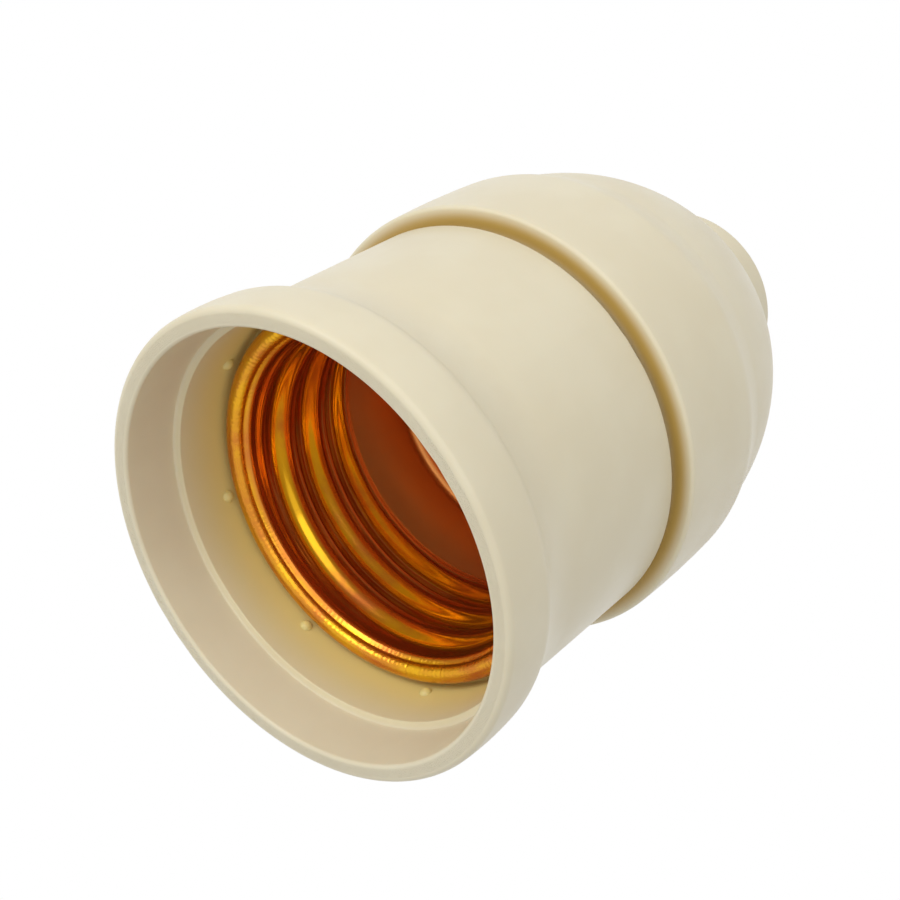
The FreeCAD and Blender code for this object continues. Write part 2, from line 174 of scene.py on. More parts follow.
class SocketMoulding(bpy.types.PropertyGroup):
    """Sizes of the two mouldings: the skirt and the cap."""

    rim_radius: length("Rim radius", "Outer radius of the rim", 18.095)
    rim_edge: length("Rim edge", "Rounding of the rim's outer edge", 0.5)
    rim_band: length("Rim band", "Height of the rim's band", 3.95)
    rim_bulge: length("Rim bulge", "How far the band swells", 0.07)
    knee_drop: length("Knee drop", "How far in the band's upper corner ends", 0.36)
    knee_rise: length("Knee rise", "Height of the band's upper corner", 1.1)
    knee_swell: length("Knee swell", "How far in the corner's middle lies", 0.09)
    sweep_rise: length("Sweep rise", "Height of the sweep's middle", 3.0)
    sweep: length("Sweep", "How far the sweep stands out", 0.24)
    sweep_end: length("Sweep end", "Height where the sweep meets the body", 10.2)
    body_radius: length("Body radius", "Outer radius of the skirt's body", 16.845)
    waist: length("Waist", "How far the body narrows and widens", 0.05)
    body_end: length("Body end", "Height of the skirt's shoulder", 22.7)
    body_edge: length("Body edge", "Rounding of the shoulder", 0.3)
    spigot_radius: length("Spigot radius", "Outer radius of the spigot", 15.045)
    spigot_end: length("Spigot end", "Height of the spigot's end", 31.0)
    lead_in: length("Lead-in", "Bevel where the cap starts", 0.4)
    bore: length("Bore", "Radius of the skirt's bore", 13.945)
    seat_height: length("Seat height", "Height of the seat behind the bead", 10.27)
    seat_radius: length("Seat radius", "Radius of the wall round the bead", 15.645)
    seat_fillet: length("Seat fillet", "Rounding between seat and wall", 0.3)
    step_height: length("Step height", "Height of the step inside the mouth", 4.6)
    step_width: length("Step width", "Width of the step inside the mouth", 0.52)
    step_edge: length("Step edge", "Rounding of the step", 0.14)
    draft: length("Draft", "Taper of the mouth's walls", 0.2)
    lip_wall: length("Lip", "Width of the rim's flat lip", 1.5)
    lip_edge: length("Lip edge", "Rounding of the lip's inner edge", 0.3)
    slot_width: length("Slot width", "Width of the spigot's two slots", 4.0)
    slot_depth: length("Slot depth", "Depth of the spigot's two slots", 1.4)
    pip_radius: length("Pip radius", "Radius of the pips round the bead", 0.55)
    pip_rise: length("Pip rise", "How far the pips stand out", 0.3)
    pip_height: length("Pip height", "Height of the pips", 8.67)
    pip_count: whole("Pips", "Pips round the bead", 8, 0, 24)
    pip_angle: amount("Pip angle", "Angle of the first pip", math.radians(25.7), unit="ROTATION")
    cap_face: length("Cap face", "Height of the cap's open face", 23.5)
    cap_bore: length("Cap bore", "Radius of the cap's bore", 15.745)
    cap_radius: length("Cap radius", "Outer radius of the cap's band", 18.145)
    cap_edge: length("Cap edge", "Rounding of the cap's open edge", 0.35)
    cap_bulge: length("Cap bulge", "How far the band swells", 0.08)
    band_end: length("Band end", "Height where the cap's band ends", 32.2)
    band_round: length("Band round", "Height of the rounding over the band", 1.1)
    band_drop: length("Band drop", "How far in that rounding ends", 0.18)
    band_middle: length("Band middle", "How far in that rounding's middle lies", 0.05)
    crease_height: length("Crease height", "Height of the crease under the dome", 35.4)
    crease_radius: length("Crease radius", "Radius of the crease", 17.295)
    dome_radius: length("Dome radius", "Radius of the dome's arc", 23.16)
    dome_end: length("Dome end", "Height where the dome ends", 50.4)
    dome_wall: length("Dome wall", "Thickness of the dome", 2.3)
    dome_lean: amount("Dome lean", "Lean of the dome at the crease", 0.12, unit="ROTATION")
    neck_radius: length("Neck radius", "Outer radius of the neck", 8.6)
    neck_blend: length("Neck blend", "Height of the blend to the neck", 1.4)
    neck_end: length("Neck end", "Height of the neck's end", 55.6)
    neck_edge: length("Neck edge", "Rounding of the neck's edge", 0.5)
    neck_bore: length("Neck bore", "Radius of the neck's bore", 5.58)
    bore_edge: length("Bore edge", "Rounding of the neck's bore", 0.25)
    hollow_foot: length("Hollow foot", "Height where the cap's hollow narrows", 36.4)
    ledge_height: length("Ledge", "Height of the base's ledge", 34.0)
    turn_steps: whole("Turn steps", "Steps round the axis", 300, 36, 720)
    arc_steps: whole("Arc steps", "Steps along each rounding", 8, 2, 60)
    dome_steps: whole("Dome steps", "Steps along the dome", 48, 6, 90)


class SocketShell(bpy.types.PropertyGroup):
    """Sizes of the rolled brass shell that the lamp screws into."""

    pitch: length("Pitch", "Pitch of the lamp's thread", 25.4 / 7)
    crest_radius: length("Crest radius", "Inner radius at the crests", 12.53)
    depth: length("Thread depth", "From crests to roots", 0.75)
    first_crest: length("First crest", "Height of the first crest on the far side", 13.35)
    thread_from: length("Thread start", "Height where the thread starts", 10.3)
    thread_to: length("Thread end", "Height where the thread fades", 20.0)
    fade: length("Thread fade", "Rise over which the thread fades", 1.4)
    sheet: length("Sheet", "Thickness of the brass", 0.3)
    bead_radius: length("Bead radius", "Radius of the rolled bead's middle", 14.415)
    bead_height: length("Bead height", "Height of the rolled bead's middle", 9.42)
    bead_roll: length("Bead roll", "Outer radius of the rolled bead", 0.75)
    throat_rise: length("Throat", "Rise from the bead to the throat", 0.5)
    tail_radius: length("Tail radius", "Inner radius behind the thread", 12.9)
    tail_bend: length("Tail bend", "Radius of the bend at the back", 0.9)
    bottom: length("Bottom", "Height of the shell's back", 28.2)
    window_radius: length("Window radius", "Radius of the hole in the back", 9.0)
    line_steps: whole("Profile steps", "Points along the thread's profile", 104, 24, 200)
    turn_steps: whole("Turn steps", "Steps round the axis", 320, 36, 720)


class SocketStage(bpy.types.PropertyGroup):
    """Floor, lamps and camera."""

    floor_tone: colour("Floor", "Colour of the floor", 243, 242, 240)
    floor_radius: length("Floor radius", "How far the floor reaches", 2500.0)
    fill: amount("Fill", "Strength of the light from all round", 0.505)
    near: amount("Near lamp", "Power of the broad lamp", 0.43, unit="POWER")
    near_side: direction("Near lamp side", "Where the broad lamp hangs", (-0.28, -0.84, -0.47))
    mouth: amount("Mouth lamp", "Power of the small lamp", 0.28, unit="POWER")
    mouth_side: direction("Mouth lamp side", "Where the small lamp hangs", (-0.72, -0.25, -0.64))
    mouth_size: length("Mouth lamp size", "Side of the small lamp", 160.0)
    upper: amount("Upper lamp", "Power of the upper lamp", 0.09, unit="POWER")
    upper_side: direction("Upper lamp side", "Where the upper lamp hangs", (-0.62, -0.55, 0.56))
    lamp_size: length("Lamp size", "Side of the two large lamps", 400.0)
    lamp_distance: length("Lamp distance", "From the lamps to the socket", 340.0)
    camera_place: FloatVectorProperty(
        name="Camera place", description="Where the photograph was taken from",
        subtype="XYZ", unit="LENGTH", default=(-0.28 * MM, -83.06 * MM, -64.1 * MM))
    camera_right: direction("Camera right", "To the picture's right", (0.5461, -0.5898, 0.5949))
    camera_back: direction("Camera back", "Out of the picture", (0.0, -0.7102, -0.7041))
    camera_lens: amount("Lens", "Focal length of the camera", 60.51, unit="CAMERA")


class Graph:
    """Places nodes in a node tree and joins their sockets."""

    def __init__(self, tree):
        self.tree = tree
        tree.nodes.clear()

    def fill(self, socket, value):
        """Joins a socket to another one, or gives it a value."""
        if isinstance(value, bpy.types.NodeSocket):
            self.tree.links.new(value, socket)
        else:
            socket.default_value = (*value, 1.0) if isinstance(value, Color) else value

    def node(self, kind, inputs=None, **settings):
        made = self.tree.nodes.new(kind)
        for name, value in settings.items():
            setattr(made, name, value)
        for name, value in (inputs or {}).items():
            self.fill(made.inputs[name], value)
        return made

    def math(self, operation, *values, kind="ShaderNodeMath"):
        return self.node(kind, dict(enumerate(values)), operation=operation).outputs[0]

    def plus(self, *values):
        total = values[0]
        for value in values[1:]:
            total = self.math("ADD", total, value)
        return total

    def minus(self, first, second):
        return self.math("SUBTRACT", first, second)

    def times(self, first, second):
        return self.math("MULTIPLY", first, second)

    def over(self, first, second):
        return self.math("DIVIDE", first, second)

    def vector_math(self, operation, *values):
        return self.math(operation, *values, kind="ShaderNodeVectorMath")

    def blend(self, share, first, second):
        """A colour between two colours."""
        inputs = {0: share, 6: first, 7: second}
        return self.node("ShaderNodeMix", inputs, data_type="RGBA").outputs[2]

    def span(self, value, low, high, to_low=0.0, to_high=1.0, smooth=False):
        """A value moved from one range to another, and held inside it."""
        made = self.node("ShaderNodeMapRange", {0: value, 1: low, 2: high, 3: to_low, 4: to_high},
                         interpolation_type="SMOOTHSTEP" if smooth else "LINEAR", clamp=True)
        return made.outputs[0]

    def spread(self, noise, low, high):
        """A noise moved to a range."""
        return self.span(noise, NOISE_LOW, NOISE_HIGH, low, high)

    def noise(self, vector, scale, detail=2.0, roughness=0.5, fourth=None):
        inputs = {"Vector": vector, "Scale": scale, "Detail": detail, "Roughness": roughness}
        made = self.node("ShaderNodeTexNoise", inputs)
        if fourth is not None:
            made.noise_dimensions = "4D"
            self.fill(made.inputs["W"], fourth)
        return made.outputs[0]

    def group(self, name, **inputs):
        """The outputs of a shared group. In the inputs' names, an underscore stands for a space."""
        named = {label.replace("_", " "): value for label, value in inputs.items()}
        return self.node("ShaderNodeGroup", named, node_tree=shared_group(name)).outputs

    def bump(self, strength, distance, height, **normal):
        inputs = {"Strength": strength, "Distance": distance, "Height": height, **normal}
        return self.node("ShaderNodeBump", inputs).outputs[0]


def new_group(name, inputs, outputs):
    """An empty shader node group with its named sockets."""
    tree = bpy.data.node_groups.new(name, "ShaderNodeTree")
    for label, kind, default in inputs:
        socket = tree.interface.new_socket(label, in_out="INPUT", socket_type="NodeSocket" + kind)
        if default is not None:
            socket.default_value = default
    for label, kind in outputs:
        tree.interface.new_socket(label, in_out="OUTPUT", socket_type="NodeSocket" + kind)
    graph = Graph(tree)
    return graph, graph.node("NodeGroupInput").outputs, graph.node("NodeGroupOutput").inputs


def moulded_surface_group():
    """Faint patches and fine grain, as thick moulded plastic and glazed ware have."""
    graph, given, made = new_group(
        "moulded surface",
        [("Vector", "Vector", None), ("Patch Size", "Float", 7 * MM),
         ("Grain Size", "Float", 0.2 * MM)],
        [("Patches", "Float"), ("Grain", "Float")])
    patches = graph.noise(given["Vector"], graph.over(1.0, given["Patch Size"]), 3.0, 0.55)
    grain = graph.noise(given["Vector"], graph.over(1.0, given["Grain Size"]), 2.0, 0.6)
    graph.fill(made["Patches"], graph.span(patches, 0.32, 0.68, smooth=True))
    graph.fill(made["Grain"], grain)
    return graph.tree


def round_place_group():
    """Turns a place into turns about the socket's axis, distance from it and height."""
    graph, given, made = new_group(
        "round place", [("Vector", "Vector", None)],
        [("Turns", "Float"), ("Radius", "Float"), ("Height", "Float"), ("Direction", "Vector")])
    parts = graph.node("ShaderNodeSeparateXYZ", {0: given["Vector"]}).outputs
    flat = graph.node("ShaderNodeCombineXYZ", {"X": parts["X"], "Y": parts["Y"]}).outputs[0]
    angle = graph.math("ARCTAN2", parts["Y"], parts["X"])
    reach = graph.node("ShaderNodeVectorMath", {0: flat}, operation="LENGTH").outputs["Value"]
    graph.fill(made["Turns"], graph.over(angle, 2 * math.pi))
    graph.fill(made["Radius"], reach)
    graph.fill(made["Height"], parts["Z"])
    graph.fill(made["Direction"], graph.vector_math("NORMALIZE", flat))
    return graph.tree


def worked_metal_group():
    """Long fine marks of rolling or drawing, and patches where the metal has dulled."""
    graph, given, made = new_group(
        "worked metal",
        [("Along", "Vector", None), ("Across", "Float", 0.0), ("Mark Size", "Float", 0.1 * MM),
         ("Dull Size", "Float", 4 * MM)],
        [("Marks", "Float"), ("Dullness", "Float")])
    lines = graph.over(given["Across"], given["Mark Size"])
    patches = graph.over(given["Across"], given["Dull Size"])
    dull = graph.noise(given["Along"], 1.7, 4.0, 0.6, patches)
    graph.fill(made["Marks"], graph.noise(given["Along"], 1.0, 2.0, 0.7, lines))
    graph.fill(made["Dullness"], graph.span(dull, 0.42, 0.7, smooth=True))
    return graph.tree


def shared_group(name):
    """A node group that more than one material uses, made when it is first asked for."""
    makers = {
        "moulded surface": moulded_surface_group,
        "round place": round_place_group,
        "worked metal": worked_metal_group,
    }
    return bpy.data.node_groups.get(name) or makers[name]()


def start_material(name):
    """A new material, its graph and the place on the piece that its textures follow."""
    material = bpy.data.materials.new(name)
    material.use_nodes = True
    graph = Graph(material.node_tree)
    return material, graph, graph.node("ShaderNodeTexCoord").outputs["Object"]


def end_material(graph, shader_inputs):
    shader = graph.node("ShaderNodeBsdfPrincipled", shader_inputs)
    graph.node("ShaderNodeOutputMaterial", {"Surface": shader.outputs[0]})


def near_ring(graph, ring, radius, height, reach, core):
    """1 up to a core distance from a circle round the axis, falling to 0 at the reach."""
    out = graph.minus(ring["Radius"], radius)
    up = graph.minus(ring["Height"], height)
    distance = graph.math("SQRT", graph.plus(graph.times(out, out), graph.times(up, up)))
    return graph.span(distance, reach, core, smooth=True)


def moulded_plastic(name, pale, shade, roughness, finish):
    """Thick semi-gloss plastic that light enters a little."""
    material, graph, place = start_material(name)
    surface = graph.group("moulded surface", Vector=place, Patch_Size=finish.patch_size,
                          Grain_Size=finish.grain_size)
    ring = graph.group("round place", Vector=place)
    # Painted light: a warm bounce tint near the brass inside the mouth.
    inside = graph.span(ring["Radius"], finish.bounce_limit + 0.3 * MM, finish.bounce_limit)
    bounced = graph.times(inside, near_ring(graph, ring, finish.bounce_radius, finish.bounce_height,
                                         finish.bounce_reach, finish.bounce_core))
    # Painted shade in the groove under the cap.
    seam = near_ring(graph, ring, finish.seam_radius, finish.seam_height, finish.seam_reach,
                     finish.seam_core)
    tone = graph.blend(bounced, graph.blend(surface["Patches"], pale, shade), finish.ivory_bounce)
    gloss = graph.plus(graph.span(surface["Patches"], 0.0, 1.0, roughness - 0.02, roughness + 0.04),
                       graph.spread(surface["Grain"], -0.03, 0.03))
    end_material(graph, {
        "Base Color": graph.blend(seam, tone, finish.seam_shade),
        "Roughness": gloss,
        "IOR": 1.52,
        "Specular IOR Level": 0.38,
        "Subsurface Weight": 0.1,
        "Subsurface Radius": (1.0, 0.75, 0.45),
        "Subsurface Scale": 1.0 * MM,
        "Normal": graph.bump(0.12, 0.02 * MM, surface["Grain"]),
    })
    return material


def painted_flank_highlight(graph, ring, finish):
    """1 on the thread's front flanks, where a highlight is painted, and 0 between, which is painted
    shade.
    """
    shell = bpy.context.scene.socket_shell
    from_crest = graph.over(graph.minus(ring["Height"], shell.first_crest), shell.pitch)
    phase = graph.minus(graph.plus(from_crest, FAR_SIDE + finish.highlight_place), ring["Turns"])
    half = finish.highlight_width / 2
    bright_gold = graph.span(graph.math("PINGPONG", phase, 0.5), half + 0.05, half - 0.05, smooth=True)
    highlight_to = finish.highlight_from + 0.6 * MM
    return graph.times(bright_gold, graph.span(ring["Height"], finish.highlight_from, highlight_to, smooth=True))


def rolled_brass(name, finish):
    """The screw shell: bright brass rolled round the axis, with a pleated bead at its mouth."""
    material, graph, place = start_material(name)
    ring = graph.group("round place", Vector=place)
    metal = graph.group("worked metal", Along=ring["Direction"],
                        Across=graph.plus(ring["Height"], ring["Radius"]),
                        Mark_Size=0.11 * MM, Dull_Size=2.2 * MM)
    bead_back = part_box("screw_shell")[0].z + finish.bead_depth
    on_bead = graph.span(ring["Height"], bead_back, bead_back - 0.5 * MM, smooth=True)
    wander = graph.noise(ring["Direction"], 7.0, detail=1.0)
    pleats = graph.plus(graph.times(ring["Turns"], finish.crimp_count), graph.times(wander, 0.9))
    pleats = graph.span(graph.math("PINGPONG", pleats, 0.5), 0.05, 0.0, smooth=True)
    # A second noise leaves the pleats only here and there.
    pleats = graph.times(pleats, graph.span(graph.noise(ring["Direction"], 11.0), 0.5, 0.6))
    flutes = graph.math("SINE", graph.times(ring["Turns"], 2 * math.pi * finish.flute_count))
    flutes = graph.times(flutes, graph.span(wander, 0.35, 0.6, 0.1, 1.0))
    specks = graph.noise(place, 1 / finish.speck_size)
    relief = graph.plus(graph.minus(graph.times(flutes, 0.12), graph.times(pleats, 0.5)),
                        graph.times(specks, 0.8))
    marks = graph.bump(0.25, 0.01 * MM, metal["Marks"])
    # Darker toward the back: painted shade deep in the shell; the roughness also rises there.
    at_back = graph.span(ring["Height"], finish.back_shade_from, finish.back_shade_from + 1.5 * MM, smooth=True)
    # The pleats darken the brass too: painted shade in their creases, on top of the real dull
    # patches.
    dull = graph.math("MAXIMUM", metal["Dullness"], graph.times(pleats, 0.4))
    rough = graph.plus(graph.spread(metal["Marks"], 0.09, 0.15), graph.times(dull, 0.08),
                       graph.times(on_bead, 0.1), graph.times(at_back, 0.2))
    # Full gold only on the bead and the painted highlight bands; elsewhere the tarnish colour is
    # painted shade.
    bright_gold = graph.math("MAXIMUM", on_bead, painted_flank_highlight(graph, ring, finish))
    gold = graph.blend(dull, finish.shell_gold, finish.shell_tarnish_and_shade)
    tone = graph.blend(bright_gold, finish.shell_tarnish_and_shade, gold)
    end_material(graph, {
        "Base Color": graph.blend(at_back, tone, finish.shell_back_shade),
        "Metallic": 0.92,
        "Roughness": rough,
        "Normal": graph.bump(0.8, 0.05 * MM, graph.times(relief, on_bead), Normal=marks),
    })
    return material


def stamped_metal(name, tone, dulling, roughness, mark_size):
    """Strip and turned parts: marks along the strip, and a dull film in patches."""
    material, graph, place = start_material(name)
    parts = graph.node("ShaderNodeSeparateXYZ", {0: place}).outputs
    along = graph.vector_math("MULTIPLY", place, (90.0, 90.0, 90.0))
    metal = graph.group("worked metal", Along=along, Across=graph.plus(parts["Y"], parts["Z"]),
                        Mark_Size=mark_size, Dull_Size=2.5 * MM)
    end_material(graph, {
        "Base Color": graph.blend(metal["Dullness"], tone, darker(tone, dulling)),
        "Metallic": 1.0,
        "Roughness": graph.plus(graph.spread(metal["Marks"], roughness - 0.05, roughness + 0.06),
                                graph.times(metal["Dullness"], 0.12)),
        "Normal": graph.bump(0.2, 0.01 * MM, metal["Marks"]),
    })
    return material


def glazed_porcelain(name, tone):
    material, graph, place = start_material(name)
    surface = graph.group("moulded surface", Vector=place, Patch_Size=3.5 * MM, Grain_Size=0.5 * MM)
    end_material(graph, {
        "Base Color": graph.blend(surface["Patches"], tone, darker(tone, (0.95, 0.94, 0.92))),
        "Roughness": graph.spread(surface["Grain"], 0.22, 0.34),
        "Coat Weight": 0.5,
        "Coat Roughness": 0.08,
        "Normal": graph.bump(0.15, 0.05 * MM, surface["Patches"]),
    })
    return material


def darker(tone, shares):
    """A colour with each channel brought down to its share."""
    return Color([value * share for value, share in zip(tone, shares)])


def finish_of(name):
    """A named finish, made when it is first asked for."""
    finish = bpy.context.scene.socket_finish
    old_brass = (0.86, 0.78, 0.66)
    bush_shade = darker(finish.bush_tone, (0.9, 0.9, 0.9))
    makers = {
        "ivory moulding": (moulded_plastic, finish.ivory, finish.ivory_shade, 0.36, finish),
        "bush moulding": (moulded_plastic, finish.bush_tone, bush_shade, 0.5, finish),
        "spring brass": (stamped_metal, finish.spring_gold, old_brass, 0.24, 0.09 * MM),
        "terminal brass": (stamped_metal, finish.terminal_gold, old_brass, 0.3, 0.12 * MM),
        "plated steel": (stamped_metal, finish.plating, (0.8, 0.8, 0.8), 0.28, 0.1 * MM),
        "rolled brass": (rolled_brass, finish),
        "glazed porcelain": (glazed_porcelain, finish.porcelain),
    }
    maker, *settings = makers[name]
    return bpy.data.materials.get(name) or maker(name, *settings)


def dress(piece, finish_name):
    """Gives a piece or a CAD node its finish."""
    piece.data.materials.clear()
    piece.data.materials.append(finish_of(finish_name))


def add_object(name, data):
    made = bpy.data.objects.new(name, data)
    bpy.context.scene.collection.objects.link(made)
    return made


def order_of(corners):
    return sum(corner.co.x + 2.7 * corner.co.y + 7.4 * corner.co.z for corner in corners)


def add_mesh(name, form):
    """A new object from a bmesh, put in order so that each run gives the same mesh."""
    form.verts.sort(key=lambda corner: order_of([corner]))
    form.faces.sort(key=lambda face: order_of(face.verts))
    mesh = bpy.data.meshes.new(name)
    form.to_mesh(mesh)
    form.free()
    return add_object(name, mesh)


def smooth_faces(form):
    for face in form.faces:
        face.smooth = True


def link_mesh(name, form, finish_name, body):
    """A new piece from a bmesh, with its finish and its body."""
    piece = add_mesh(name, form)
    dress(piece, finish_name)
    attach(piece, body)
    return piece


def on_circle(x, y, radius, angle):
    return x + radius * math.cos(angle), y + radius * math.sin(angle)


def round_axis(radius, angle, height):
    """A place at a radius and an angle about the socket's axis."""
    return radius * math.cos(angle), radius * math.sin(angle), height


def ridge_section(height, foot, top):
    """Half the ridge's section from foot to crest, as (rise from the wall, offset along it)."""
    rounding = height * 0.35
    sunk = -0.05 * MM
    points = [(sunk, foot / 2), (height - rounding, top / 2 + rounding * 0.35)]
    for turn in (30, 60, 90):
        bend = math.radians(turn)
        offset, rise = on_circle(top / 2 - rounding, height - rounding, rounding, bend)
        points.append((rise, offset))
    return points


def thread_ridge(name, wall, outward, height, low, high, phase, body):
    """A moulded ridge that winds up a round wall, with run-outs at both ends."""
    sizes = bpy.context.scene.socket_threads
    half = ridge_section(height, sizes.ridge_foot, sizes.ridge_top)
    section = half + [(rise, -offset) for rise, offset in reversed(half)]
    count = int((high - low) / sizes.pitch * sizes.steps)
    run_out = sizes.steps / 8
    end_width = 0.35
    form = bmesh.new()
    rings = []
    for step in range(count + 1):
        angle = 2 * math.pi * (step / sizes.steps + phase)
        middle = low + sizes.pitch * step / sizes.steps
        fade = math.sin(min(step / run_out, (count - step) / run_out, 1.0) * math.pi / 2)
        width = end_width + (1 - end_width) * fade
        ring = []
        for rise, offset in section:
            radius = wall + outward * (rise * fade if rise > 0 else rise)
            ring.append(form.verts.new(round_axis(radius, angle, middle + offset * width)))
        rings.append(ring)
    for ring, following in zip(rings, rings[1:]):
        for index in range(len(section)):
            after = (index + 1) % len(section)
            form.faces.new((ring[index], ring[after], following[after], following[index]))
    form.faces.new(rings[0])
    form.faces.new(rings[-1])
    bmesh.ops.recalc_face_normals(form, faces=form.faces)
    smooth_faces(form)
    link_mesh(name, form, "ivory moulding", body)


def arc_points(start, middle, end, steps):
    """Points on the arc through three points, without its start."""
    (ax, ay), (bx, by), (cx, cy) = start, middle, end
    twice = 2 * (ax * (by - cy) + bx * (cy - ay) + cx * (ay - by))
    a_size, b_size, c_size = ax ** 2 + ay ** 2, bx ** 2 + by ** 2, cx ** 2 + cy ** 2
    x = (a_size * (by - cy) + b_size * (cy - ay) + c_size * (ay - by)) / twice
    y = (a_size * (cx - bx) + b_size * (ax - cx) + c_size * (bx - ax)) / twice
    radius = math.hypot(ax - x, ay - y)
    first = math.atan2(ay - y, ax - x)
    sweep = math.remainder(math.atan2(cy - y, cx - x) - first, 2 * math.pi)
    return [on_circle(x, y, radius, first + sweep * step / steps) for step in range(1, steps + 1)]


def rounded_points(before, corner, after, radius, steps):
    """Points on the arc that rounds a corner."""
    before, corner, after = Vector(before), Vector(corner), Vector(after)
    back = (before - corner).normalized()
    ahead = (after - corner).normalized()
    half = back.angle(ahead) / 2
    reach = radius / math.tan(half)
    middle = corner + (back + ahead).normalized() * (radius / math.sin(half) - radius)
    start = corner + back * reach
    return [tuple(start)] + arc_points(start, middle, corner + ahead * reach, steps)


def outline(steps, count):
    """A closed outline of (radius, height). A step is (r, z), (r, z, rounding) or
    (r and z on an arc, r and z at its end), with the arc's own count of points if it has one."""
    places = [step[2:4] if len(step) > 3 else step[:2] for step in steps]
    points = []
    for index, step in enumerate(steps):
        if len(step) > 3:
            points += arc_points(points[-1], step[:2], step[2:4], *(step[4:] or (count,)))
        elif len(step) == 3:
            after = places[(index + 1) % len(places)]
            points += rounded_points(places[index - 1], places[index], after, step[2], count)
        else:
            points.append(tuple(step))
    return points


def skirt_outline(m, spigot_end):
    """The skirt's section, with the spigot ending at a given height."""
    rim = m.rim_radius
    corner = m.rim_edge * (1 - math.sqrt(0.5))
    step_radius = m.seat_radius + m.draft
    return outline([
        (rim - m.lip_wall, 0, m.lip_edge),
        (rim - m.rim_edge, 0),
        (rim - corner, corner, rim, m.rim_edge),
        (rim + m.rim_bulge, m.rim_band * 0.6, rim, m.rim_band),
        (rim - m.knee_swell, m.rim_band + m.knee_rise / 2,
         rim - m.knee_drop, m.rim_band + m.knee_rise),
        (m.body_radius + m.sweep, m.rim_band + m.sweep_rise,
         m.body_radius - m.waist, m.sweep_end, 2 * m.arc_steps),
        (m.body_radius + m.waist, m.body_end, m.body_edge),
        (m.spigot_radius, m.body_end),
        (m.spigot_radius, spigot_end - m.lead_in),
        (m.spigot_radius - m.lead_in, spigot_end),
        (m.bore, spigot_end),
        (m.bore, m.seat_height),
        (m.seat_radius, m.seat_height, m.seat_fillet),
        (step_radius, m.step_height + m.draft, m.step_edge),
        (step_radius + m.step_width, m.step_height, m.step_edge),
    ], m.arc_steps)


def skirt_loops(moulding):
    """The skirt's section at each step round the axis, cut short in the two slots of the spigot."""
    whole = skirt_outline(moulding, moulding.spigot_end)
    slotted = skirt_outline(moulding, moulding.spigot_end - moulding.slot_depth)
    half = math.asin(moulding.slot_width / 2 / moulding.spigot_radius)
    loops = []
    for side in (math.pi / 2, 3 * math.pi / 2):
        loops += [(side - half, whole), (side - half, slotted), (side, slotted),
                  (side + half, slotted), (side + half, whole)]
    loops += [(angle, whole) for angle in turn_angles(moulding.turn_steps)
              if abs(math.cos(angle)) > math.sin(half)]
    return sorted(loops, key=lambda loop: loop[0])


def add_pips(form, moulding):
    """Small round pips on the wall round the bead."""
    distance = moulding.seat_radius + moulding.pip_radius - moulding.pip_rise
    for index in range(moulding.pip_count):
        angle = moulding.pip_angle + 2 * math.pi * index / moulding.pip_count
        place = Matrix.Translation(round_axis(distance, angle, moulding.pip_height))
        bmesh.ops.create_uvsphere(form, u_segments=24, v_segments=12, radius=moulding.pip_radius,
                                  matrix=place)
    smooth_faces(form)


def dome_at(moulding, height, wall=0.0):
    """The dome's radius at a height."""
    reach = moulding.dome_radius - wall
    centre_radius = moulding.crease_radius - moulding.dome_radius * math.cos(moulding.dome_lean)
    centre_height = moulding.crease_height - moulding.dome_radius * math.sin(moulding.dome_lean)
    return centre_radius + math.sqrt(reach ** 2 - (height - centre_height) ** 2)


def cap_outline(m):
    """The cap's section."""
    corner = m.cap_edge * (1 - math.sqrt(0.5))
    dome_middle = (m.crease_height + m.dome_end) / 2
    dome_foot = dome_at(m, m.dome_end)
    inner_top = m.dome_end - m.dome_wall
    inner_middle = (m.hollow_foot + inner_top) / 2
    inner_foot = dome_at(m, m.hollow_foot, m.dome_wall)
    return outline([
        (m.cap_bore, m.cap_face + m.lead_in),
        (m.cap_bore + m.lead_in, m.cap_face),
        (m.cap_radius - m.cap_edge, m.cap_face),
        (m.cap_radius - corner, m.cap_face + corner, m.cap_radius, m.cap_face + m.cap_edge),
        (m.cap_radius + m.cap_bulge, (m.cap_face + m.band_end) / 2, m.cap_radius, m.band_end),
        (m.cap_radius - m.band_middle, m.band_end + m.band_round / 2,
         m.cap_radius - m.band_drop, m.band_end + m.band_round),
        (m.crease_radius, m.crease_height),
        (dome_at(m, dome_middle), dome_middle, dome_foot, m.dome_end, m.dome_steps),
        (m.neck_radius + (dome_foot - m.neck_radius) * 0.25, m.dome_end + m.neck_blend * 0.45,
         m.neck_radius, m.dome_end + m.neck_blend),
        (m.neck_radius, m.neck_end, m.neck_edge),
        (m.neck_bore, m.neck_end, m.bore_edge),
        (m.neck_bore, inner_top),
        (dome_at(m, inner_top, m.dome_wall), inner_top),
        (dome_at(m, inner_middle, m.dome_wall), inner_middle,
         inner_foot, m.hollow_foot, m.dome_steps),
        (inner_foot, m.ledge_height),
        (m.cap_bore, m.ledge_height),
    ], m.arc_steps)


def smooth(value):
    value = min(max(value, 0.0), 1.0)
    return value * value * (3 - 2 * value)


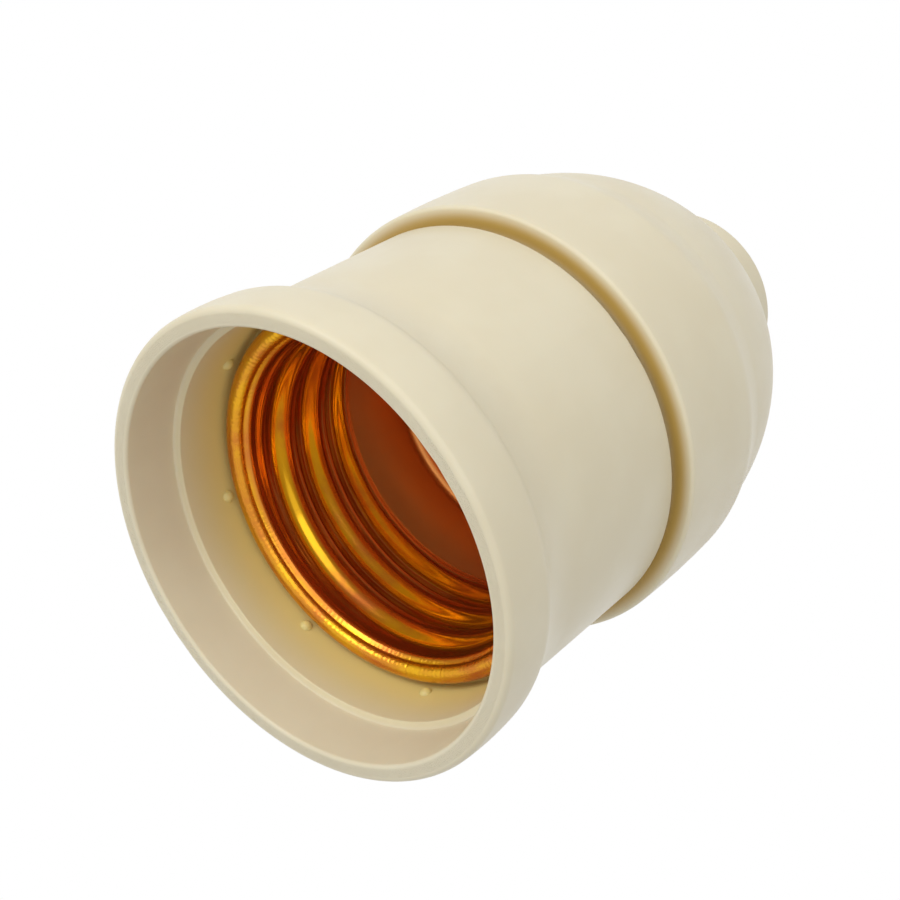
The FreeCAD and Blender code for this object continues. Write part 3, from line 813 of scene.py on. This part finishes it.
def shell_line(shell, angle):
    """The middle of the brass sheet at one angle, from the bead's free edge to the window."""
    roll = shell.bead_roll - shell.sheet / 2
    line = [on_circle(shell.bead_radius, shell.bead_height, roll, math.radians(turn))
            for turn in range(70, -181, -10)]
    inner = shell.bead_radius - roll
    root = shell.crest_radius + shell.depth + shell.sheet / 2
    tail = shell.tail_radius + shell.sheet / 2
    crest = shell.first_crest + shell.pitch * (angle / (2 * math.pi) - FAR_SIDE)
    reach = shell.thread_to + shell.fade - shell.bead_height
    for index in range(1, shell.line_steps + 1):
        height = shell.bead_height + reach * index / shell.line_steps
        wall = inner + (root - inner) * smooth((height - shell.bead_height) / shell.throat_rise)
        wave = shell.depth * (1 + math.cos(2 * math.pi * (height - crest) / shell.pitch)) / 2
        ridge = wave * smooth((height - shell.thread_from) / shell.fade)
        stop = smooth((height - shell.thread_to) / shell.fade)
        line.append(((wall - ridge) * (1 - stop) + tail * stop, height))
    bottom = shell.bottom - shell.sheet / 2
    bend_height = bottom - shell.tail_bend
    line.append((tail, (line[-1][1] + bend_height) / 2))
    line += [on_circle(tail - shell.tail_bend, bend_height, shell.tail_bend, math.radians(turn))
             for turn in range(0, 91, 15)]
    line.append((shell.window_radius, bottom))
    return line


def sheet_loop(line, sheet):
    """The closed outline of a sheet round its middle line: first the side that faces the axis."""
    inside = []
    outside = []
    for index, (radius, height) in enumerate(line):
        low = line[max(index - 1, 0)]
        high = line[min(index + 1, len(line) - 1)]
        span = math.hypot(high[0] - low[0], high[1] - low[1])
        out, up = (high[1] - low[1]) / span, (low[0] - high[0]) / span
        inside.append((radius - out * sheet / 2, height - up * sheet / 2))
        outside.append((radius + out * sheet / 2, height + up * sheet / 2))
    return inside + outside[::-1]


def revolve(form, loops):
    """Faces between closed outlines, each an angle and its points of (radius, height)."""
    rings = [[form.verts.new(round_axis(radius, angle, height)) for radius, height in loop]
             for angle, loop in loops]
    for ring, following in zip(rings, rings[1:] + rings[:1]):
        for index in range(len(ring)):
            after = (index + 1) % len(ring)
            form.faces.new((ring[index], following[index], following[after], ring[after]))
    bmesh.ops.remove_doubles(form, verts=form.verts, dist=SAME_PLACE)
    bmesh.ops.dissolve_degenerate(form, edges=form.edges, dist=SAME_PLACE)
    bmesh.ops.recalc_face_normals(form, faces=form.faces)
    smooth_faces(form)
    for edge in form.edges:
        edge.smooth = edge.is_manifold and edge.calc_face_angle() < SHARP_ANGLE


def turn_angles(steps):
    return [2 * math.pi * step / steps for step in range(steps)]


class SOCKET_OT_skirt(bpy.types.Operator):
    """Mould the skirt with its pips, and wind the thread round its spigot"""

    bl_idname = "socket.skirt"
    bl_label = "Skirt"

    def execute(self, context):
        sizes = context.scene.socket_threads
        moulding = context.scene.socket_moulding
        form = bmesh.new()
        revolve(form, skirt_loops(moulding))
        add_pips(form, moulding)
        piece = link_mesh("moulded_skirt", form, "ivory moulding", "holder")
        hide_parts("skirt")
        low = moulding.cap_face + sizes.first_turn
        high = moulding.spigot_end - sizes.end_gap
        thread_ridge("spigot_thread", moulding.spigot_radius, 1, sizes.spigot_ridge,
                     low, high, 0.0, "holder")
        return {"FINISHED"}


class SOCKET_OT_cap(bpy.types.Operator):
    """Mould the domed cap, and wind the thread inside its bore"""

    bl_idname = "socket.cap"
    bl_label = "Cap"

    def execute(self, context):
        sizes = context.scene.socket_threads
        moulding = context.scene.socket_moulding
        form = bmesh.new()
        section = cap_outline(moulding)
        revolve(form, [(angle, section) for angle in turn_angles(moulding.turn_steps)])
        piece = link_mesh("moulded_cap", form, "ivory moulding", "cap")
        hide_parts("cap")
        low = moulding.cap_face + sizes.first_turn
        high = low + sizes.cap_turns * sizes.pitch
        thread_ridge("cap_thread", moulding.cap_bore, -1, sizes.cap_ridge, low, high, 0.5, "cap")
        return {"FINISHED"}


class SOCKET_OT_screw_shell(bpy.types.Operator):
    """Roll the brass shell that the lamp screws into"""

    bl_idname = "socket.screw_shell"
    bl_label = "Screw Shell"

    def execute(self, context):
        shell = context.scene.socket_shell
        form = bmesh.new()
        revolve(form, [(angle, sheet_loop(shell_line(shell, angle), shell.sheet))
                       for angle in turn_angles(shell.turn_steps)])
        piece = link_mesh("brass_shell", form, "rolled brass", "holder")
        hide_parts("screw_shell")
        return {"FINISHED"}


class SOCKET_OT_contact_base(bpy.types.Operator):
    """Glaze the porcelain base that carries the contacts and terminals"""

    bl_idname = "socket.contact_base"
    bl_label = "Contact Base"

    def execute(self, context):
        dress(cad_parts["contact_base"], "glazed porcelain")
        return {"FINISHED"}


class SOCKET_OT_contacts(bpy.types.Operator):
    """Finish the contact stud and side strip, and make the leaf that bends under the lamp"""

    bl_idname = "socket.contacts"
    bl_label = "Contacts"

    def execute(self, context):
        for name in ("contact_tip", "side_contact"):
            dress(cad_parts[name], "spring brass")
        form = bmesh.new()
        form.from_mesh(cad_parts["centre_leaf"].data)
        bmesh.ops.remove_doubles(form, verts=form.verts, dist=0.001 * MM)
        bmesh.ops.dissolve_limit(form, angle_limit=math.radians(0.5), verts=form.verts,
                                 edges=form.edges)
        sharp = [edge for edge in form.edges
                 if edge.is_manifold and edge.calc_face_angle() > math.radians(35)]
        bmesh.ops.bevel(form, geom=sharp, offset=0.05 * MM, segments=2, affect="EDGES", profile=0.5)
        smooth_faces(form)
        leaf = link_mesh("leaf_spring", form, "spring brass", "holder")
        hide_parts("centre_leaf")
        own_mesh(leaf)
        return {"FINISHED"}


class SOCKET_OT_terminals(bpy.types.Operator):
    """Finish the terminal plates, rivets, washers and screws"""

    bl_idname = "socket.terminals"
    bl_label = "Terminals"

    def execute(self, context):
        for side in ("live", "neutral"):
            for part in ("terminal", "rivet"):
                dress(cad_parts[side + "_" + part], "terminal brass")
            for part in ("washer", "screw"):
                dress(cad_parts[side + "_" + part], "plated steel")
        return {"FINISHED"}


class SOCKET_OT_cord_bush(bpy.types.Operator):
    """Finish the bush that lines the neck"""

    bl_idname = "socket.cord_bush"
    bl_label = "Cord Bush"

    def execute(self, context):
        dress(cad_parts["cord_bush"], "bush moulding")
        return {"FINISHED"}


def hang_lamp(name, power, size, offset, centre):
    """A square lamp at an offset from the socket's centre, which it faces."""
    light = bpy.data.lights.new(name, "AREA")
    light.shape = "SQUARE"
    light.size = size
    light.energy = power
    lamp = add_object(name, light)
    lamp.location = centre + offset
    lamp.rotation_euler = offset.to_track_quat("Z", "Y").to_euler()


def light_the_world(fill):
    """White where the camera or a reflection looks past the socket, and a softer fill elsewhere."""
    world = bpy.data.worlds.new("studio")
    world.use_nodes = True
    graph = Graph(world.node_tree)
    ray = graph.node("ShaderNodeLightPath").outputs
    seen = graph.math("MAXIMUM", ray["Is Camera Ray"], ray["Is Glossy Ray"])
    seen = graph.math("MAXIMUM", seen, ray["Is Transmission Ray"])
    strength = graph.span(seen, 0.0, 1.0, fill, 1.0)
    light = graph.node("ShaderNodeBackground", {"Color": Color((1, 1, 1)), "Strength": strength})
    graph.node("ShaderNodeOutputWorld", {"Surface": light.outputs[0]})
    bpy.context.scene.world = world


def lay_floor(stage):
    """A pale floor under the rim. It shows from above only, so the mouth can be looked into."""
    form = bmesh.new()
    bmesh.ops.create_circle(form, cap_ends=True, radius=stage.floor_radius, segments=96)
    floor = add_mesh("floor", form)
    floor.location.z = cad_bounds[0][2]
    material = bpy.data.materials.new("floor")
    material.use_nodes = True
    graph = Graph(material.node_tree)
    from_camera = graph.node("ShaderNodeLightPath").outputs["Is Camera Ray"]
    backfacing = graph.node("ShaderNodeNewGeometry").outputs["Backfacing"]
    shown = graph.times(from_camera, graph.minus(1.0, backfacing))
    clear = graph.node("ShaderNodeBsdfTransparent")
    pale = graph.node("ShaderNodeBsdfDiffuse", {"Color": stage.floor_tone})
    mix = graph.node("ShaderNodeMixShader", {0: shown, 1: clear.outputs[0], 2: pale.outputs[0]})
    graph.node("ShaderNodeOutputMaterial", {"Surface": mix.outputs[0]})
    floor.data.materials.append(material)


class SOCKET_OT_stage(bpy.types.Operator):
    """Lay the floor, hang the lamps and set the photograph's camera"""

    bl_idname = "socket.stage"
    bl_label = "Stage"

    def execute(self, context):
        stage = context.scene.socket_stage
        centre = (Vector(cad_bounds[0]) + Vector(cad_bounds[1])) / 2
        lay_floor(stage)
        light_the_world(stage.fill)
        for name, power, size, side in (
                ("near_lamp", stage.near, stage.lamp_size, stage.near_side),
                ("mouth_lamp", stage.mouth, stage.mouth_size, stage.mouth_side),
                ("upper_lamp", stage.upper, stage.lamp_size, stage.upper_side)):
            hang_lamp(name, power, size, Vector(side).normalized() * stage.lamp_distance, centre)
        back = Vector(stage.camera_back).normalized()
        up = back.cross(Vector(stage.camera_right)).normalized()
        turn = Matrix((up.cross(back), up, back)).transposed()
        data = bpy.data.cameras.new("photograph")
        data.lens = stage.camera_lens
        data.clip_start = 1 * MM
        camera = add_object("photograph", data)
        camera.matrix_world = Matrix.Translation(stage.camera_place) @ turn.to_4x4()
        context.scene.camera = camera
        context.scene.view_settings.view_transform = "Standard"
        return {"FINISHED"}


class SOCKET_PT_panel(bpy.types.Panel):
    """Lists the socket's pieces, finishes and stage"""

    bl_idname = "SOCKET_PT_panel"
    bl_label = "Lamp Socket"
    bl_space_type = "VIEW_3D"
    bl_region_type = "UI"
    bl_category = "Lamp Socket"

    def draw(self, context):
        layout = self.layout
        for operator in operators:
            layout.operator(operator.bl_idname)
        for group_name in property_groups:
            group = getattr(context.scene, group_name)
            box = layout.box()
            for name in group.bl_rna.properties.keys():
                if name not in ("rna_type", "name"):
                    box.prop(group, name)


property_groups = {
    "socket_finish": SocketFinish,
    "socket_moulding": SocketMoulding,
    "socket_threads": SocketThreads,
    "socket_shell": SocketShell,
    "socket_stage": SocketStage,
}
operators = (
    SOCKET_OT_skirt,
    SOCKET_OT_cap,
    SOCKET_OT_screw_shell,
    SOCKET_OT_contact_base,
    SOCKET_OT_contacts,
    SOCKET_OT_terminals,
    SOCKET_OT_cord_bush,
    SOCKET_OT_stage,
)


def register():
    for name, group in property_groups.items():
        bpy.utils.register_class(group)
        setattr(bpy.types.Scene, name, PointerProperty(type=group))
    for operator in operators:
        bpy.utils.register_class(operator)
    bpy.utils.register_class(SOCKET_PT_panel)


def unregister():
    bpy.utils.unregister_class(SOCKET_PT_panel)
    for operator in reversed(operators):
        bpy.utils.unregister_class(operator)
    for name, group in reversed(property_groups.items()):
        delattr(bpy.types.Scene, name)
        bpy.utils.unregister_class(group)


def main():
    register()
    bpy.ops.socket.skirt()
    bpy.ops.socket.cap()
    bpy.ops.socket.screw_shell()
    bpy.ops.socket.contact_base()
    bpy.ops.socket.contacts()
    bpy.ops.socket.terminals()
    bpy.ops.socket.cord_bush()
    bpy.ops.socket.stage()


if __name__ == "__main__":
    main()
